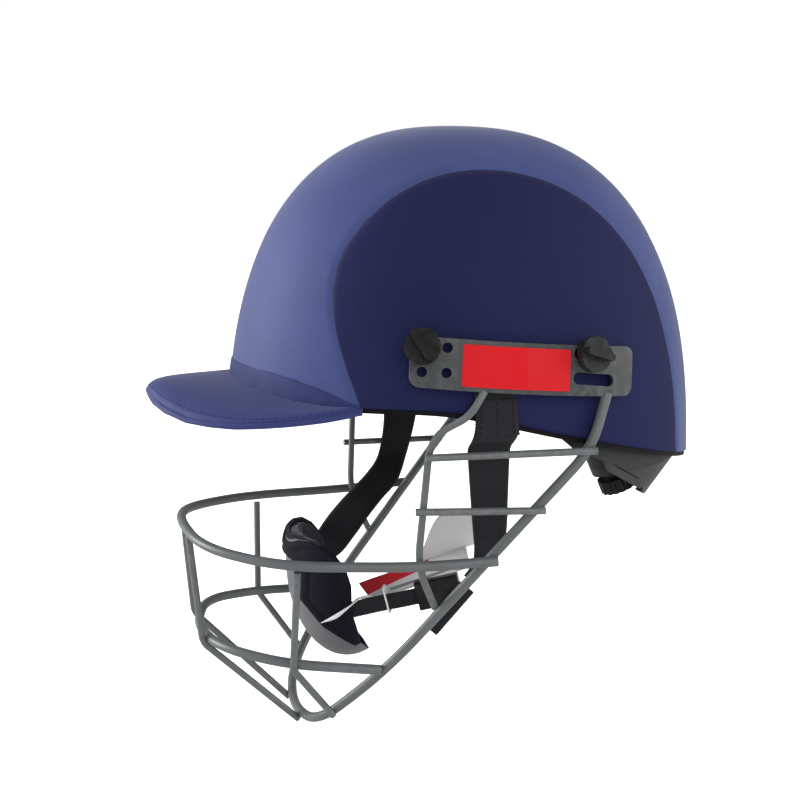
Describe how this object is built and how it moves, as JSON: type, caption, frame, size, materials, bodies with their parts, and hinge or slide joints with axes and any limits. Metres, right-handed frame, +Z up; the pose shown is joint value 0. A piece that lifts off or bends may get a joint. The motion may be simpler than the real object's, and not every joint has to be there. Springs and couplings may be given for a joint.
{
  "type": "cricket helmet",
  "caption": "Cloth-covered batting helmet with a stiff peak, wire face guard on adjustable side plates, chin strap with cup and buckle, and a dial size adjuster.",
  "frame": {"origin": "on the mid-plane inside the helmet, at ear height, at the head's seat", "axes": "+Z up, the wearer looks along -Y, +X is the wearer's left"},
  "size_m": [0.2244, 0.29, 0.3121],
  "materials": {
    "shell_black": "matte",
    "cloth_crown": "soft sheen",
    "cloth_side": "matte weave",
    "peak_core": "matte",
    "foam": "soft closed foam",
    "pad_cloth": "soft knit",
    "powder_coat": "satin",
    "label_red": "gloss",
    "screw_front": "satin",
    "screw_rear": "satin",
    "washer_steel": "satin",
    "spacer_rubber": "matte",
    "webbing": "ribbed weave",
    "buckle_black": "satin",
    "cup_grey": "satin",
    "adjuster_grey": "satin",
    "dial_black": "satin",
    "tag_card": "card",
    "tie_white": "satin"
  },
  "bodies": {
    "helmet": {"shell": "shell_black", "edge_trim": "shell_black", "crown_panel": "cloth_crown", "side_panel_left": "cloth_side", "side_panel_right": "cloth_side", "front_band": "cloth_crown", "peak_core": "peak_core", "peak_cover": "cloth_crown", "foam_liner": "foam", "brow_pad": "pad_cloth", "nape_pad": "pad_cloth", "crown_pad": "pad_cloth", "side_pad_left": "pad_cloth", "side_pad_right": "pad_cloth", "side_plate_left": "powder_coat", "side_plate_right": "powder_coat", "side_label_left": "label_red", "side_label_right": "label_red", "plate_spacers": "spacer_rubber", "screw_nuts": "washer_steel", "frame_wire": "powder_coat", "upper_ring": "powder_coat", "lower_ring": "powder_coat", "side_wire_left": "powder_coat", "side_wire_right": "powder_coat", "top_bar_left": "powder_coat", "top_bar_right": "powder_coat", "second_bar_left": "powder_coat", "second_bar_right": "powder_coat", "outer_upright_left": "powder_coat", "outer_upright_right": "powder_coat", "middle_upright_left": "powder_coat", "middle_upright_right": "powder_coat", "strap_rivets": "washer_steel", "adjuster_barrel": "adjuster_grey", "adjuster_cap": "adjuster_grey", "adjuster_hanger": "adjuster_grey"},
    "front_washer_left": {"front_washer_left": "washer_steel"},
    "front_screw_left": {"front_thumb_screw_left": "screw_front"},
    "front_washer_right": {"front_washer_right": "washer_steel"},
    "front_screw_right": {"front_thumb_screw_right": "screw_front"},
    "rear_washer_left": {"rear_washer_left": "washer_steel"},
    "rear_screw_left": {"rear_thumb_screw_left": "screw_rear"},
    "rear_washer_right": {"rear_washer_right": "washer_steel"},
    "rear_screw_right": {"rear_thumb_screw_right": "screw_rear"},
    "dial": {"adjuster_dial": "dial_black", "adjuster_pinion": "dial_black"},
    "wing_left": {"adjuster_wing_left": "adjuster_grey"},
    "wing_right": {"adjuster_wing_right": "adjuster_grey"},
    "chin_strap": {"chin_strap_left": "webbing", "chin_strap_right": "webbing", "chin_cup_shell": "cup_grey", "chin_cup_pad": "pad_cloth", "chin_cup_cover": "cloth_side", "buckle_socket": "buckle_black", "strap_tail": "webbing", "swing_tag": "tag_card", "tag_tie": "tie_white"},
    "buckle_tongue": {"buckle_tongue": "buckle_black", "thin_strap": "webbing"}
  },
  "joints": [
    {"name": "front_washer_slide_left", "type": "slide", "parent": "helmet", "child": "front_washer_left", "axis": [0.9416, -0.2914, 0.169], "range_m": [0, 0.0016]},
    {"name": "front_screw_turn_left", "type": "hinge", "parent": "front_washer_left", "child": "front_screw_left", "pos_m": [0.09374, -0.0104, 0.0396], "axis": [0.9416, -0.2914, 0.169], "range_deg": [0, 720]},
    {"name": "front_washer_slide_right", "type": "slide", "parent": "helmet", "child": "front_washer_right", "axis": [-0.9416, -0.2914, 0.169], "range_m": [0, 0.0016]},
    {"name": "front_screw_turn_right", "type": "hinge", "parent": "front_washer_right", "child": "front_screw_right", "pos_m": [-0.09374, -0.0104, 0.0396], "axis": [-0.9416, -0.2914, 0.169], "range_deg": [0, 720]},
    {"name": "rear_washer_slide_left", "type": "slide", "parent": "helmet", "child": "rear_washer_left", "axis": [0.9531, 0.2634, 0.1492], "range_m": [0, 0.0016]},
    {"name": "rear_screw_turn_left", "type": "hinge", "parent": "rear_washer_left", "child": "rear_screw_left", "pos_m": [0.0947, 0.0674, 0.0339], "axis": [0.9531, 0.2634, 0.1492], "range_deg": [0, 720]},
    {"name": "rear_washer_slide_right", "type": "slide", "parent": "helmet", "child": "rear_washer_right", "axis": [-0.9531, 0.2634, 0.1492], "range_m": [0, 0.0016]},
    {"name": "rear_screw_turn_right", "type": "hinge", "parent": "rear_washer_right", "child": "rear_screw_right", "pos_m": [-0.0947, 0.0674, 0.0339], "axis": [-0.9531, 0.2634, 0.1492], "range_deg": [0, 720]},
    {"name": "dial_turn", "type": "hinge", "parent": "helmet", "child": "dial", "pos_m": [0, 0.119, -0.0355], "axis": [0, 0.3987, -0.9171], "range_deg": [0, 127.4]},
    {"name": "wing_slide_left", "type": "slide", "parent": "helmet", "child": "wing_left", "axis": [-1, 0, 0], "range_m": [0, 0.008]},
    {"name": "wing_slide_right", "type": "slide", "parent": "helmet", "child": "wing_right", "axis": [1, 0, 0], "range_m": [0, 0.008]},
    {"name": "chin_strap_swing", "type": "hinge", "parent": "helmet", "child": "chin_strap", "pos_m": [0, 0.021, 0.031], "axis": [1, 0, 0], "range_deg": [-4, 2.5]},
    {"name": "buckle_slide", "type": "slide", "parent": "chin_strap", "child": "buckle_tongue", "axis": [-0.3159, -0.9177, -0.2407], "range_m": [0, 0.008]}
  ],
  "couplings": [
    {"joint": "front_screw_turn_left", "follows": "front_washer_slide_left", "rad_per_m": 7850},
    {"joint": "front_screw_turn_right", "follows": "front_washer_slide_right", "rad_per_m": 7850},
    {"joint": "rear_screw_turn_left", "follows": "rear_washer_slide_left", "rad_per_m": 7850},
    {"joint": "rear_screw_turn_right", "follows": "rear_washer_slide_right", "rad_per_m": 7850},
    {"joint": "dial_turn", "follows": "wing_slide_left", "rad_per_m": 277.78},
    {"joint": "wing_slide_right", "follows": "wing_slide_left", "ratio": 1}
  ]
}
